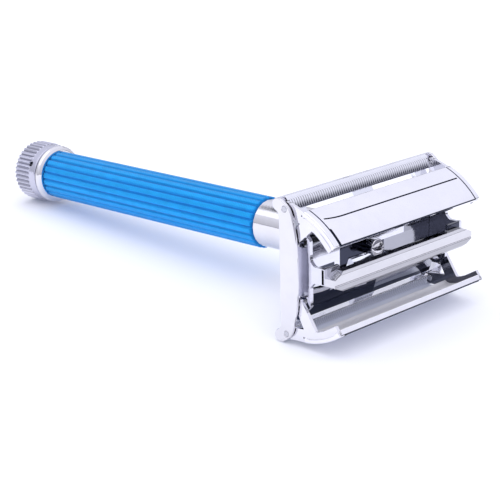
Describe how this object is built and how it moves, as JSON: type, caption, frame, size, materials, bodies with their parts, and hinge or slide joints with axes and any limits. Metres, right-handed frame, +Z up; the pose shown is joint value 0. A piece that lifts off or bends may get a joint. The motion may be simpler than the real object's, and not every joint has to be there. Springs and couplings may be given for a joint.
{
  "type": "safety razor",
  "caption": "Twist-to-open double-edge safety razor lying on its side with both doors open, blue fluted grip, chrome head and knurled knob.",
  "frame": {"origin": "middle of the bounding box, on the table under the razor", "axes": "+Z up from the table, -Y along the razor towards the head and +Y towards the knob, X along the blade"},
  "size_m": [0.0434, 0.1076, 0.0266],
  "materials": {
    "blue_grip": "glossy azure lacquer over a fluted, finely knurled sleeve",
    "chrome": "polished chrome plate",
    "lift_chrome": "chrome plate over pressed steel",
    "steel": "turned bright steel",
    "brass": "turned brass"
  },
  "bodies": {
    "handle": {"grip_sleeve": "blue_grip", "handle_tube": "steel", "neck_collar": "chrome", "rod_bush": "brass", "handle_ring": "chrome", "head_casting": "chrome", "end_plate_right": "chrome", "end_plate_left": "chrome", "hinge_pins": "steel"},
    "knob": {"knob_barrel": "chrome", "knob_cap": "chrome", "knob_pin": "steel", "drive_nut": "brass", "retaining_ring": "steel"},
    "lift": {"lift_rod": "steel", "rod_rivet": "steel", "lift_frame": "lift_chrome", "centre_bar": "chrome", "bar_rivets": "steel"},
    "door_upper": {"door_upper": "chrome", "link_pins_upper": "steel"},
    "door_lower": {"door_lower": "chrome", "link_pins_lower": "steel"}
  },
  "joints": [
    {"name": "knob_turn", "type": "hinge", "parent": "handle", "child": "knob", "pos_m": [0, -0.03984, 0.01329], "axis": [0, -0.9973, 0.0735], "range_deg": [0, 540]},
    {"name": "lift_slide", "type": "slide", "parent": "handle", "child": "lift", "axis": [0, -0.9973, 0.0735], "range_m": [-0.0068, 0]},
    {"name": "upper_door_hinge", "type": "hinge", "parent": "handle", "child": "door_upper", "pos_m": [0, -0.04029, 0.02486], "axis": [1, 0, 0], "range_deg": [0, 42]},
    {"name": "lower_door_hinge", "type": "hinge", "parent": "handle", "child": "door_lower", "pos_m": [0, -0.04199, 0.00192], "axis": [1, 0, 0], "range_deg": [-58, 0]}
  ],
  "couplings": [
    {"joint": "knob_turn", "follows": "lift_slide", "rad_per_m": -1386},
    {"joint": "upper_door_hinge", "follows": "lift_slide", "rad_per_m": -107.8},
    {"joint": "lower_door_hinge", "follows": "lift_slide", "rad_per_m": 148.87}
  ]
}
